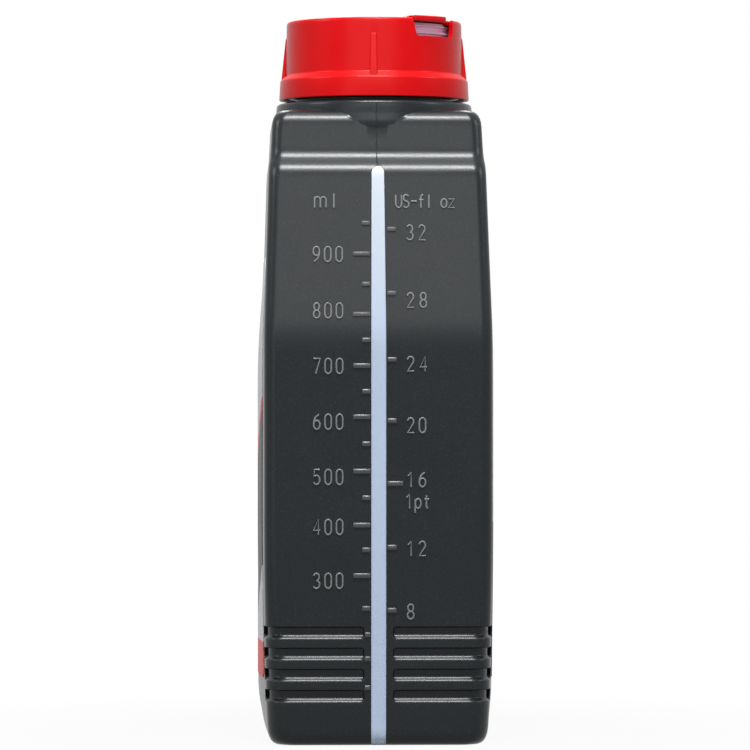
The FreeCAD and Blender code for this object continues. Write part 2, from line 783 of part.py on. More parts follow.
def finish_lid(body):
    """Add the thumb tab with its ramp, the knuckle and the two pins."""
    front = size("cap_turned_by") + size("notch_angle")
    start, end = front + size("tab_start"), front + size("tab_end")
    rim = size("cap_radius") - size("cap_wall") - size("lid_gap")
    plate_top = size("cap_height") - 0.1
    plate_low = plate_top - size("lid_thick")
    tab_top = size("cap_height") + size("tab_proud")
    tab_low = tab_top - size("tab_thick")
    tab = sector(size("tab_inner"), size("cap_radius"), tab_low, tab_top, start, end)
    ramp = Part.makeLoft([
        radial_section(size("tab_inner"), rim - 0.5, plate_low + 0.2, plate_top + 0.02,
                       start - size("ramp_angle")),
        radial_section(size("tab_inner"), rim - 0.5, plate_low + 0.2, tab_top, start + 0.2),
    ], True, True)
    knuckle = size("knuckle_radius")
    half = 0.5 * size("knuckle_width")
    offset = size("hinge_offset")
    web = hinge_box(half, size("shelf_front") - size("lug_gap") - 1 - offset, 0,
                    plate_low - hinge_height(), plate_top - hinge_height())
    pins = hinge_bar(size("pin_radius"), size("knuckle_width") + 2 * size("pin_length"))
    return body.Shape.fuse([tab, ramp, web, hinge_bar(knuckle, 2 * half), pins])


def make_bottle_and_strip():
    """Blown bottle with its view strip cut out as a piece of its own."""
    whole = body_form(0.0).fuse(panel_form(0.0) + [neck_outside()])
    whole = whole.cut(groove_rings(0.0, 0.0))
    cavity = body_form(size("wall")).fuse(panel_form(-size("wall")) + [neck_inside()])
    cavity = cavity.cut(groove_rings(size("wall"), 0.5 * size("wall")))
    screw = thread(size("neck_radius"), size("neck_radius") + size("thread_depth"),
                   size("thread_start"), size("thread_turns"))
    whole = whole.cut(cavity).fuse([screw])
    prism = strip_form()
    strip = whole.common(prism)
    bottle = whole.cut(prism).fuse(graduation_bars())
    return bottle, strip


def label_outline(side):
    """Prism along X of the label's round-cornered outline on one broad face."""
    low, high = size("label_low"), size("label_high")
    half = size("label_half_depth")
    wire = rounded_wire(0.5 * (high - low), half, size("label_corner"), 0.0)
    prism = Part.Face(wire).extrude(vec(0, 0, size("body_half_width") + 10))
    prism.rotate(vec(0, 0, 0), vec(0, 1, 0), 90 * side)
    prism.translate(vec(0, 0, 0.5 * (low + high)))
    return prism


def make_labels():
    """Front and back labels: thin skins that follow the bulged panels."""
    thick = size("label_thick")
    right, left = panel_form(thick)
    panel_right, panel_left = panel_form(0.0)
    front = left.common(label_outline(-1)).cut(panel_left)
    back = right.common(label_outline(1)).cut(panel_right)
    return front, back


def checked(item):
    """The shape of a sub-part, after making sure that it is whole."""
    if "Invalid" in item.State or "Error" in item.State:
        raise ValueError(item.Label + " is in state " + str(item.State))
    if item.Shape.isNull() or not item.Shape.isValid():
        raise ValueError(item.Label + " has no valid shape")
    return item.Shape


seal = make_seal()
insert = make_insert()
cap = make_cap()
lid = make_lid()
doc.recompute()
for thing in doc.Objects:
    if "Invalid" in thing.State or "Error" in thing.State:
        raise ValueError(thing.Name + " is in state " + str(thing.State))

bottle_shape, strip_shape = make_bottle_and_strip()
front_label, back_label = make_labels()
SUB_PARTS = [
    feature("bottle", bottle_shape),
    feature("view_strip", strip_shape),
    feature("front_label", front_label),
    feature("back_label", back_label),
    feature("seal_ring", seal.Shape),
    feature("pour_insert", insert.Shape),
    feature("screw_cap", finish_cap(cap)),
    feature("flip_lid", finish_lid(lid)),
]
doc.recompute()

os.makedirs("parts", exist_ok=True)
for sub_part in SUB_PARTS:
    shape = checked(sub_part)
    print(sub_part.Label, "solids", len(shape.Solids), "volume", round(shape.Volume, 1))
    shape.exportStep("parts/" + sub_part.Label + ".step")
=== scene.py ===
import bmesh
import bpy
import math
from mathutils import Matrix, Vector
from mathutils.bvhtree import BVHTree


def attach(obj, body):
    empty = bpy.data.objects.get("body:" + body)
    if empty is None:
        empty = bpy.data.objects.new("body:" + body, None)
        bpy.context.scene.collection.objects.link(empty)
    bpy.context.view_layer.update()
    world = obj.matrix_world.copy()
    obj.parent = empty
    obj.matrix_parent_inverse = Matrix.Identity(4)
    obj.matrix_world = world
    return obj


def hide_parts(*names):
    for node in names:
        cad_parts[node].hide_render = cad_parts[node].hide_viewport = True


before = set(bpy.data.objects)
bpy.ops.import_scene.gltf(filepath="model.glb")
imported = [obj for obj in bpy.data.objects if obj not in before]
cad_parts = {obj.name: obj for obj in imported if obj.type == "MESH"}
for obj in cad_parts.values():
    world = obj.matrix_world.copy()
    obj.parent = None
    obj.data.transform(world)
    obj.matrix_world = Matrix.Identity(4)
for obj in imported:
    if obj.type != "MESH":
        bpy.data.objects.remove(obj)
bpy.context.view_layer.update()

# Camera and studio.
# The bottle stands on a pale floor. A long lens at half the bottle's height looks straight at
# the narrow face with the level strip, a hair from the left.
PHOTO_SIZE = 750
VIEW_TURN = math.radians(1.84)
VIEW_DISTANCE = 1.5
VIEW_HEIGHT = 0.1141
SIGHT_WIDTH = 0.2377
PIXEL = SIGHT_WIDTH / PHOTO_SIZE

lens_data = bpy.data.cameras.new("camera")
lens_data.sensor_width = 36.0
lens_data.lens = 36.0 * VIEW_DISTANCE / SIGHT_WIDTH
lens_data.clip_end = 100.0
camera = bpy.data.objects.new("camera", lens_data)
bpy.context.scene.collection.objects.link(camera)
bpy.context.scene.camera = camera
camera.location = (-VIEW_DISTANCE * math.sin(VIEW_TURN), -VIEW_DISTANCE * math.cos(VIEW_TURN), VIEW_HEIGHT)
# The bottle's axis falls one pixel left of the picture's middle.
aim_aside = math.atan(PIXEL / VIEW_DISTANCE)
camera.rotation_euler = (math.radians(90), 0, -VIEW_TURN - aim_aside)
bpy.context.scene.view_settings.view_transform = "Standard"


class Socket:
    """A shader value. Arithmetic on it adds the Math nodes that work it out."""

    def __init__(self, finish, made, output=0):
        self.finish = finish
        self.made = made
        self.output = made.outputs[output] if len(made.outputs) else None

    def part(self, output):
        return Socket(self.finish, self.made, output)

    def math(self, operation, first, second=0.0):
        return self.finish.node("ShaderNodeMath", {"operation": operation}, {0: first, 1: second})

    def __add__(self, other):
        return self.math("ADD", self, other)

    def __radd__(self, other):
        return self.math("ADD", other, self)

    def __sub__(self, other):
        return self.math("SUBTRACT", self, other)

    def __rsub__(self, other):
        return self.math("SUBTRACT", other, self)

    def __mul__(self, other):
        return self.math("MULTIPLY", self, other)

    def __rmul__(self, other):
        return self.math("MULTIPLY", other, self)

    def __truediv__(self, other):
        return self.math("DIVIDE", self, other)

    def __abs__(self):
        return self.math("ABSOLUTE", self)

    def above(self, edge, soft):
        """0 below edge, 1 above it, with a ramp that is soft wide."""
        ramp = {"From Min": edge - 0.5 * soft, "From Max": edge + 0.5 * soft}
        return self.finish.node("ShaderNodeMapRange", {"clamp": True}, {"Value": self, **ramp})

    def colours(self, *stops):
        """A colour ramp over 0 to 1 with (place, colour) stops."""
        return self.finish.node("ShaderNodeValToRGB", {"stops": stops}, {"Fac": self})


class Finish:
    """The node tree of a material or the world, with one way to add a node to it."""

    def __init__(self, owner):
        self.material = bpy.data.materials.new(owner) if isinstance(owner, str) else owner
        self.material.use_nodes = True
        self.tree = self.material.node_tree
        self.tree.nodes.clear()

    def node(self, kind, settings=None, inputs=None, output=0):
        made = self.tree.nodes.new(kind)
        for key, value in (settings or {}).items():
            if key == "stops":
                ramp = made.color_ramp
                while len(ramp.elements) < len(value):
                    ramp.elements.new(0.5)
                for element, (place, colour) in zip(ramp.elements, value):
                    element.position = place
                    element.color = (*colour, 1.0)
            else:
                setattr(made, key, value)
        for key, value in (inputs or {}).items():
            if isinstance(value, Socket):
                self.tree.links.new(value.output, made.inputs[key])
            else:
                made.inputs[key].default_value = value
        return Socket(self, made, output)

    def place(self):
        """Object coordinates in millimetres as three values."""
        spot = self.node("ShaderNodeTexCoord", output="Object")
        scaled = self.node("ShaderNodeVectorMath", {"operation": "SCALE"}, {0: spot, "Scale": 1000.0})
        split = self.node("ShaderNodeSeparateXYZ", inputs={0: scaled})
        return split, split.part(1), split.part(2)

    def noise(self, size_mm, detail=2.0, rough=0.5, stretch=(1.0, 1.0, 1.0)):
        """Smooth noise whose blobs are about size_mm wide."""
        spot = self.node("ShaderNodeTexCoord", output="Object")
        spread = tuple(1000.0 / size_mm / s for s in stretch)
        mapped = self.node("ShaderNodeMapping", inputs={"Vector": spot, "Scale": spread})
        return self.node("ShaderNodeTexNoise", {}, {"Vector": mapped, "Scale": 1.0, "Detail": detail,
                                                    "Roughness": rough})

    def mix(self, factor, first, second):
        """A colour between first and second."""
        made = self.node("ShaderNodeMix", {"data_type": "RGBA"}, {0: factor}, output=2)
        for index, colour in ((6, first), (7, second)):
            if isinstance(colour, Socket):
                self.tree.links.new(colour.output, made.made.inputs[index])
            else:
                made.made.inputs[index].default_value = (*colour, 1.0)
        return made

    def bump(self, height, depth_mm, strength=1.0):
        return self.node("ShaderNodeBump", {}, {"Height": height, "Distance": 0.001 * depth_mm,
                                                "Strength": strength})

    def surface(self, inputs):
        for key, value in inputs.items():
            if key.endswith("Color") and isinstance(value, tuple):
                inputs[key] = (*value, 1.0)
        shader = self.node("ShaderNodeBsdfPrincipled", {}, inputs)
        self.node("ShaderNodeOutputMaterial", inputs={"Surface": shader})
        return self.material


def background_share(finish):
    """1 for the rays that show the white background: the camera's own, mirrored and refracted ones."""
    rays = finish.node("ShaderNodeLightPath")
    through = rays.math("MAXIMUM", rays.part("Is Glossy Ray"), rays.part("Is Transmission Ray"))
    return rays.math("MAXIMUM", rays, through)


floor_finish = Finish("studio_floor")
floor_spot = floor_finish.node("ShaderNodeTexCoord", output="Object")
far_off = floor_finish.node("ShaderNodeVectorMath", {"operation": "LENGTH"}, {0: floor_spot}, output=1)
white_share = background_share(floor_finish) * (0.94 + 0.06 * far_off.above(0.15, 0.12))
plain = floor_finish.node("ShaderNodeBsdfDiffuse", {}, {"Color": (0.22, 0.22, 0.22, 1.0)})
white = floor_finish.node("ShaderNodeEmission", {}, {"Color": (1.0, 1.0, 1.0, 1.0), "Strength": 1.0})
floor_mix = floor_finish.node("ShaderNodeMixShader", {}, {0: white_share, 1: plain, 2: white})
floor_finish.node("ShaderNodeOutputMaterial", inputs={"Surface": floor_mix})

floor_mesh = bpy.data.meshes.new("studio_floor")
floor_form = bmesh.new()
bmesh.ops.create_grid(floor_form, x_segments=1, y_segments=1, size=40.0)
floor_form.to_mesh(floor_mesh)
floor_form.free()
floor_mesh.materials.append(floor_finish.material)
studio_floor = bpy.data.objects.new("studio_floor", floor_mesh)
bpy.context.scene.collection.objects.link(studio_floor)

world = bpy.data.worlds.new("studio")
bpy.context.scene.world = world
sky = Finish(world)
backdrop = sky.node("ShaderNodeBackground", {}, {"Color": (1.0, 1.0, 1.0, 1.0), "Strength": 1.0})
room = sky.node("ShaderNodeBackground", {}, {"Color": (0.93, 0.96, 1.0, 1.0), "Strength": 0.12})
sky_mix = sky.node("ShaderNodeMixShader", {}, {0: background_share(sky), 1: room, 2: backdrop})
sky.node("ShaderNodeOutputWorld", inputs={"Surface": sky_mix})


def softbox(name, place, aim, width, height, power):
    """A rectangular studio lamp at place that points at aim."""
    lamp_data = bpy.data.lights.new(name, "AREA")
    lamp_data.shape = "RECTANGLE"
    lamp_data.size = width
    lamp_data.size_y = height
    lamp_data.energy = power
    lamp = bpy.data.objects.new(name, lamp_data)
    lamp.location = place
    lamp.rotation_euler = (Vector(aim) - Vector(place)).to_track_quat("-Z", "Y").to_euler()
    bpy.context.scene.collection.objects.link(lamp)


softbox("softbox_top", (0.0, -0.55, 1.15), (0, 0, 0.12), 0.48, 0.2, 26.0)
softbox("softbox_over", (0.0, -0.07, 1.35), (0, 0, 0.12), 0.5, 0.22, 1.8)
softbox("softbox_front", (0.0, -1.15, 0.62), (0, 0, 0.15), 1.1, 0.36, 4.4)
softbox("softbox_left", (-0.95, -0.25, 0.75), (0, 0, 0.15), 0.35, 0.4, 3.6)
softbox("softbox_right", (0.95, -0.25, 0.75), (0, 0, 0.15), 0.3, 0.4, 2.6)
softbox("softbox_left_low", (-0.75, -1.2, 0.3), (0, 0, 0.15), 0.22, 0.9, 1.3)
softbox("softbox_back", (0.0, 0.9, 0.9), (0, 0, 0.15), 0.5, 0.4, 5.0)

# Bottle.
# One blow-moulded piece of anthracite polyethylene with a sandblasted grain: flat body with
# bulged label panels, four grooves round the foot, stepped shoulder, round collar and neck.
CREASE = 126.4
GROOVE_LOW, GROOVE_PITCH, GROOVE_HEIGHT = 13.5, 6.5, 3.7
GROOVE_DEPTH, GROOVE_LIP = 1.1, 1.1
GROOVE_LAND, GROOVE_END = 4.65, 36.6
WALL = 1.1
# Half width, half depth, height, corner radius, and how far each bend is rounded.
BODY_PATH = [
    (20.0, 30.0, 0.9, 3.0, 0.0),
    (25.0, 35.5, 0.9, 3.0, 1.5),
    (26.5, 37.0, 0.0, 3.5, 1.2),
    (33.75, 44.3, 0.0, 7.0, 5.6),
    (35.25, 45.8, 50.0, 4.0, 20.0),
    (35.25, 45.8, CREASE, 4.0, 5.5),
    (33.7, 36.85, 178.3, 4.0, 3.4),
    (33.1, 32.75, 182.2, 4.0, 2.9),
    (32.45, 30.45, 195.9, 4.0, 4.6),
    (20.8, 18.6, 198.0, 1.6, 0.0),
]


def smooth_step(low, high, value):
    share = min(max((value - low) / (high - low), 0.0), 1.0)
    return share * share * (3.0 - 2.0 * share)


def bent_path(points, steps):
    """The path with each bend rounded by a quadratic curve of steps parts."""
    made = [Vector(points[0][:4])]
    for before, here, after in zip(points, points[1:], points[2:]):
        corner = Vector(here[:4])
        ends = []
        for other in (Vector(before[:4]), Vector(after[:4])):
            reach = min(here[4] / (other - corner).xyz.length, 0.48)
            ends.append(corner.lerp(other, reach))
        for step in range(steps + 1):
            t = step / steps
            first = ends[0].lerp(corner, t)
            made.append(first.lerp(corner.lerp(ends[1], t), t))
    made.append(Vector(points[-1][:4]))
    return made


def body_rows(path, longest):
    """The path's stations with long runs divided, as (half width, half depth, height, radius)."""
    rows = [path[0]]
    for station in path[1:]:
        gap = (station - rows[-1]).xyz.length
        start = rows[-1]
        parts = max(1, math.ceil(gap / longest))
        for part in range(1, parts + 1):
            rows.append(start.lerp(station, part / parts))
    return rows


def with_groove_rows(rows):
    """Add stations where the grooves' edges need them."""
    heights = []
    for number in range(4):
        low = GROOVE_LOW + number * GROOVE_PITCH
        top = low + GROOVE_HEIGHT
        heights += [low - 0.35, low - 0.1, low + 0.15, low + 0.4, low + 0.7, low + 0.95, low + 1.2, low + 1.45,
                    top - 0.75, top - 0.5, top - 0.3, top - 0.1, top + 0.1, top + 0.35]
    made = [row for row in rows if not heights[0] - 0.8 < row[2] < heights[-1] + 0.8]
    below = max(row for row in range(len(made)) if made[row][2] < heights[0] and made[row][0] > 30)
    start, end = made[below], made[below + 1]
    added = [start.lerp(end, (z - start[2]) / (end[2] - start[2])) for z in heights]
    return made[:below + 1] + added + made[below + 1:]


FRONT_NEAR = [0.0, 1.4, 2.8, 3.7, 4.1, 4.35, 4.5, 4.65, 4.8, 4.95, 5.2, 5.6, 7.0]
FRONT_FAR = [0.12, 0.3, 0.5, 0.7, 0.86, 1.0]
SIDE_NEAR = [0.0, 6.0, 12.0, 18.0, 24.0, 29.0, 33.0, 35.0, 35.8, 36.1, 36.35, 36.6, 36.85, 37.1, 37.4]
SIDE_FAR = [0.5, 1.0]
CORNER_STEPS = 12
SIDE_LIMIT = 38.4


def half_face(near, far, reach, limit):
    """Places along one half of a face, from its middle to where its corner begins."""
    shrink = min(1.0, reach / limit)
    made = [place * shrink for place in near]
    last = made[-1]
    return made + [last + share * (reach - last) for share in far]


def ring(half_x, half_y, radius):
    """Points round the body at one height with the face that each lies on."""
    in_x, in_y = half_x - radius, half_y - radius
    front = half_face(FRONT_NEAR, FRONT_FAR, in_x, 8.0)
    side = half_face(SIDE_NEAR, SIDE_FAR, in_y, SIDE_LIMIT)
    across = [-x for x in reversed(front)] + front[1:]
    along = [-y for y in reversed(side)] + side[1:]
    points = []

    def corner(centre_x, centre_y, start):
        for step in range(1, CORNER_STEPS):
            angle = math.radians(start + 90.0 * step / CORNER_STEPS)
            points.append((centre_x + radius * math.cos(angle), centre_y + radius * math.sin(angle)))

    points += [(x, -half_y) for x in across]
    corner(in_x, -in_y, -90.0)
    points += [(half_x, y) for y in along]
    corner(in_x, in_y, 0.0)
    points += [(-x, half_y) for x in across]
    corner(-in_x, in_y, 90.0)
    points += [(-half_x, -y) for y in along]
    corner(-in_x, -in_y, 180.0)
    return points


def groove_share(z):
    """The grooves' depth at a height as a share of the full depth, and how far their round ends draw in."""
    deepest, drawn_in = 0.0, 0.0
    for number in range(4):
        low = GROOVE_LOW + number * GROOVE_PITCH
        top = low + GROOVE_HEIGHT
        run = min(max((z - low + 0.15) / (GROOVE_LIP + 0.3), 0.0), 1.0)
        lip = 0.5 * run + 0.5 * smooth_step(0.0, 1.0, run)
        share = lip * (1.0 - smooth_step(top - 0.35, top + 0.05, z))
        if share > deepest:
            deepest = share
            into_corner = max(1.0 - min(z - low, top - z), 0.0)
            drawn_in = 1.0 - math.sqrt(max(1.0 - into_corner ** 2, 0.0))
    return deepest, drawn_in


def shaped(x, y, z, half_x, half_y):
    """Move a point of the plain form for the grooves and the bulged label panels."""
    front = abs(y) > abs(half_y) - 0.02
    share, drawn_in = groove_share(z)
    if share > 0.0:
        depth = GROOVE_DEPTH * share
        if y < 0 and abs(x) < 8.0:
            end = GROOVE_LAND + drawn_in
            depth *= smooth_step(end - 0.3, end + 0.3, abs(x))
        if abs(y) < SIDE_LIMIT and not front:
            end = GROOVE_END + drawn_in
            depth *= smooth_step(end - 0.3, end + 0.3, abs(y))
        x *= 1.0 - depth / half_x
        y *= 1.0 - depth / half_y
    rise = smooth_step(-4.0, 18.0, z) * (1.0 - smooth_step(112.0, 154.0, z))
    if z > 0.3 and rise > 0.0 and abs(x) > half_x - 2.0:
        span = 42.0 - 0.165 * max(z - CREASE, 0.0)
        # The body tapers below z 50, and the panel's crown stays where it is.
        reach = 1.4 + 0.03 * max(50.0 - z, 0.0)
        bulge = reach * rise * max(1.0 - (y / span) ** 2, 0.0)
        x += math.copysign(bulge, x)
    return Vector((x, y, z))


def shell(rows, shape):
    """A closed form from level rings: a grid is wrapped round, its seam merged and its ends filled."""
    rings = [ring(row[0], row[1], row[3]) for row in rows]
    count = len(rings[0])
    form = bmesh.new()
    # The operator counts segments of the grid in each direction.
    bmesh.ops.create_grid(form, x_segments=count, y_segments=len(rows) - 1, size=1.0)
    for vert in form.verts:
        column = round(0.5 * (vert.co.x + 1.0) * count) % count
        level = round(0.5 * (vert.co.y + 1.0) * (len(rows) - 1))
        x, y = rings[level][column]
        row = rows[level]
        vert.co = shape(x, y, row[2], row[0], row[1])
    bmesh.ops.remove_doubles(form, verts=form.verts, dist=1e-5)
    open_edges = [edge for edge in form.edges if edge.is_boundary]
    bmesh.ops.holes_fill(form, edges=open_edges, sides=0)
    bmesh.ops.recalc_face_normals(form, faces=form.faces)
    return form


def turned(points, steps=192, closed=True):
    """A form turned about the bottle's axis from (radius, height) points."""
    form = bmesh.new()
    verts = [form.verts.new((radius, 0.0, z)) for radius, z in points]
    pairs = list(zip(verts, verts[1:]))
    if closed:
        pairs.append((verts[-1], verts[0]))
    for pair in pairs:
        form.edges.new(pair)
    bmesh.ops.spin(form, geom=form.verts[:] + form.edges[:], cent=(0, 0, 0), axis=(0, 0, 1), dvec=(0, 0, 0),
                   angle=math.tau, steps=steps, use_merge=True, use_normal_flip=False, use_duplicate=False)
    bmesh.ops.remove_doubles(form, verts=form.verts, dist=1e-5)
    bmesh.ops.recalc_face_normals(form, faces=form.faces)
    return form


def rounded(points, steps=4):
    """Round the corners of a (radius, height) outline whose points carry a third value, the rounding."""
    made = []
    count = len(points)
    for index, (r, z, reach) in enumerate(points):
        corner = Vector((r, z))
        if reach <= 0:
            made.append((r, z))
            continue
        ends = []
        for other in (points[index - 1], points[(index + 1) % count]):
            step = Vector(other[:2]) - corner
            ends.append(corner + step * min(reach / step.length, 0.48))
        for step in range(steps + 1):
            t = step / steps
            spot = ends[0].lerp(corner, t).lerp(corner.lerp(ends[1], t), t)
            made.append((spot.x, spot.y))
    return made


def scratch_object(form):
    """An object in millimetres that holds a form until it is finished or used up."""
    data = bpy.data.meshes.new("form")
    form.to_mesh(data)
    form.free()
    made = bpy.data.objects.new("form", data)
    bpy.context.scene.collection.objects.link(made)
    return made


def combine(target, operation, *tools, keep=False):
    """Join, cut or intersect the target with each tool, and use the tools up."""
    for tool in tools:
        change = target.modifiers.new("combine", "BOOLEAN")
        change.operation = operation
        change.solver = "EXACT"
        change.object = tool
        graph = bpy.context.evaluated_depsgraph_get()
        result = bpy.data.meshes.new_from_object(target.evaluated_get(graph))
        target.modifiers.clear()
        target.data = result
        if not keep:
            bpy.data.objects.remove(tool)
    return target


def finished(made, name, body, material, sharp=35.0):
    """Bring a form to metres, name it, and let it ride on its body."""
    made.name = name
    made.data.name = name
    made.data.transform(Matrix.Scale(0.001, 4))
    made.data.materials.clear()
    made.data.materials.append(material)
    made.data.shade_smooth()
    made.data.set_sharp_from_angle(angle=math.radians(sharp))
    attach(made, body)
    return made


def prism(outline, axis_from, axis_to):
    """A bar along Y whose (x, z) outline is given."""
    form = bmesh.new()
    face = form.faces.new([form.verts.new((x, axis_from, z)) for x, z in outline])
    moved = bmesh.ops.extrude_face_region(form, geom=[face])["geom"]
    bmesh.ops.translate(form, verts=[v for v in moved if isinstance(v, bmesh.types.BMVert)],
                        vec=(0, axis_to - axis_from, 0))
    bmesh.ops.recalc_face_normals(form, faces=form.faces)
    return form


def thread(root, crest, start, turns, thick=1.7, pitch=5.0):
    """A helical ridge made by spinning its section with a rise."""
    steps = int(96 * turns)
    sink = 0.3 if crest > root else -0.3
    form = bmesh.new()
    section = [(root - sink, -0.5 * thick), (crest, -0.25 * thick), (crest, 0.25 * thick), (root - sink, 0.5 * thick)]
    face = form.faces.new([form.verts.new((r, 0.0, start + z)) for r, z in section])
    bmesh.ops.spin(form, geom=[face], cent=(0, 0, 0), axis=(0, 0, 1), dvec=(0, 0, pitch * turns / steps),
                   angle=math.tau * turns, steps=steps, use_merge=False, use_normal_flip=False,
                   use_duplicate=False)
    bmesh.ops.holes_fill(form, edges=[edge for edge in form.edges if edge.is_boundary], sides=0)
    bmesh.ops.recalc_face_normals(form, faces=form.faces)
    return form


body_form = shell(with_groove_rows(body_rows(bent_path(BODY_PATH, 6), 7.0)), shaped)
# The collar swells a little where it sinks into the front of the shoulder block.
COLLAR_WALL = [(31.12, 187.0, 0), (31.2, 189.0, 0), (31.3, 190.2, 0), (31.4, 191.2, 0), (31.46, 192.2, 0),
               (31.45, 193.2, 0), (31.34, 194.0, 0), (31.14, 194.8, 0), (31.03, 195.8, 0), (30.99, 197.2, 0)]
NECK_OUTLINE = [(0.0, 187.0, 0), *COLLAR_WALL, (30.75, 199.7, 1.3), (24.4, 199.7, 0.4), (24.4, 201.0, 0.3),
                (27.0, 201.5, 0.4), (27.0, 202.1, 0.4), (24.4, 202.6, 0.3), (24.4, 212.0, 0.4), (0.0, 212.0, 0)]
neck_form = turned(rounded(NECK_OUTLINE, 6), closed=False)
whole = combine(scratch_object(body_form), "UNION", scratch_object(neck_form))
inside_path = [(max(row[0] - WALL, 1), max(row[1] - WALL, 1), row[2] + 1.6 if row[2] < 5 else row[2] - 1.2,
                max(row[3] - WALL, 0.5), 0.0) for row in BODY_PATH]


def plain(x, y, z, half_x, half_y):
    """The cavity has no crisp grooves: its wall draws in a little behind them."""
    draw = 1.3 * smooth_step(9.0, 13.0, z) * (1.0 - smooth_step(37.0, 41.0, z))
    return Vector((x * (1.0 - draw / half_x), y * (1.0 - draw / half_y), z))


cavity_form = shell(body_rows([Vector(row[:4]) for row in inside_path[2:-1]], 9.0), plain)
bore_form = turned([(0.0, 186.0), (22.4, 186.0), (22.4, 213.0), (0.0, 213.0)], steps=96, closed=False)
cavity = combine(scratch_object(cavity_form), "UNION", scratch_object(bore_form))
whole = combine(whole, "DIFFERENCE", cavity)

STRIP_LOW, STRIP_HIGH, STRIP_TOP = 2.42, 2.06, 178.9


def strip_outline(narrower):
    """Outline of the level strip seen from the front, with a round top end."""
    low, high = STRIP_LOW - narrower, STRIP_HIGH - narrower
    centre = STRIP_TOP - STRIP_HIGH
    points = [(-low, -1.0), (low, -1.0), (low, CREASE), (high, centre)]
    for step in range(1, 12):
        angle = math.pi * step / 12
        points.append((high * math.cos(angle), centre + high * math.sin(angle)))
    return points + [(-high, centre), (-low, CREASE)]


slot_tool = scratch_object(prism(strip_outline(0.0), -60.0, -34.5))
strip_tool = scratch_object(prism(strip_outline(0.13), -60.0, -34.5))
strip = scratch_object(bmesh.new())
strip.data = whole.data.copy()
combine(strip, "INTERSECT", strip_tool)
combine(whole, "DIFFERENCE", slot_tool)

surface_form = bmesh.new()
surface_form.from_mesh(whole.data)
surface_tree = BVHTree.FromBMesh(surface_form)
surface_form.free()


def on_front(x, z, proud=0.0):
    """The point of the narrow face at (x, z), raised by proud."""
    spot, normal, _, _ = surface_tree.ray_cast(Vector((x, -100.0, z)), Vector((0, 1, 0)))
    return spot + normal * proud


def arc(centre_x, centre_y, reach_x, reach_y, start, end, steps=8):
    """Points of an elliptic arc between two angles in degrees."""
    points = []
    for step in range(steps + 1):
        angle = math.radians(start + (end - start) * step / steps)
        points.append((centre_x + reach_x * math.cos(angle), centre_y + reach_y * math.sin(angle)))
    return points


OVAL = arc(0.5, 0.72, 0.46, 0.28, 0, 180) + arc(0.5, 0.28, 0.46, 0.28, 180, 360) + [(0.96, 0.72)]
SMALL_OVAL = arc(0.5, 0.34, 0.42, 0.34, 0, 360, 14)
STROKES = {
    "0": [OVAL],
    "1": [[(0.12, 0.76), (0.55, 1.0), (0.55, 0.0)]],
    "2": [arc(0.48, 0.73, 0.44, 0.27, 165, -25) + [(0.04, 0.0), (0.98, 0.0)]],
    "3": [arc(0.44, 0.755, 0.42, 0.245, 155, -90) + arc(0.44, 0.255, 0.48, 0.255, 90, -155)],
    "4": [[(0.74, 0.0), (0.74, 1.0), (0.02, 0.28), (1.0, 0.28)]],
    "5": [[(0.9, 1.0), (0.16, 1.0), (0.08, 0.54)] + arc(0.46, 0.31, 0.48, 0.31, 125, -150)],
    "6": [[(0.85, 1.0)] + arc(1.0, 0.35, 0.96, 0.62, 110, 180, 6), arc(0.5, 0.3, 0.46, 0.3, 0, 360, 14)],
    "7": [[(0.02, 1.0), (0.98, 1.0), (0.36, 0.0)]],
    "8": [arc(0.5, 0.755, 0.4, 0.245, 0, 360, 14), arc(0.5, 0.26, 0.46, 0.26, 0, 360, 14)],
    "9": [arc(0.5, 0.7, 0.46, 0.3, 0, 360, 14), arc(0.0, 0.65, 0.96, 0.62, 0, -70, 6) + [(0.15, 0.0)]],
    "m": [[(0.0, 0.0), (0.0, 0.8)], arc(0.42, 0.52, 0.42, 0.24, 180, 0, 8) + [(0.84, 0.0)],
          arc(1.26, 0.52, 0.42, 0.24, 180, 0, 8) + [(1.68, 0.0)]],
    "l": [[(0.5, 0.0), (0.5, 1.0)]],
    "U": [[(0.05, 1.0)] + arc(0.48, 0.32, 0.43, 0.32, 180, 360, 8) + [(0.91, 1.0)]],
    "S": [arc(0.46, 0.75, 0.38, 0.25, 30, 270, 8) + arc(0.46, 0.25, 0.42, 0.25, 90, -150, 8)],
    "-": [[(0.1, 0.5), (0.9, 0.5)]],
    "f": [arc(0.75, 0.78, 0.32, 0.22, 90, 180, 5) + [(0.43, 0.0)], [(0.15, 0.62), (0.78, 0.62)]],
    "o": [SMALL_OVAL],
    "z": [[(0.08, 0.66), (0.92, 0.66), (0.06, 0.0), (0.94, 0.0)]],
    "p": [[(0.08, -0.3), (0.08, 0.66)], SMALL_OVAL],
    "t": [[(0.42, 0.95), (0.42, 0.15)] + arc(0.64, 0.18, 0.22, 0.18, 180, 270, 4), [(0.12, 0.66), (0.8, 0.66)]],
}
FIGURE_WIDTH = 2.1
STROKE_RADIUS = 0.29
MIDDLE_X = 374.0
HORIZON_Y = 375.0


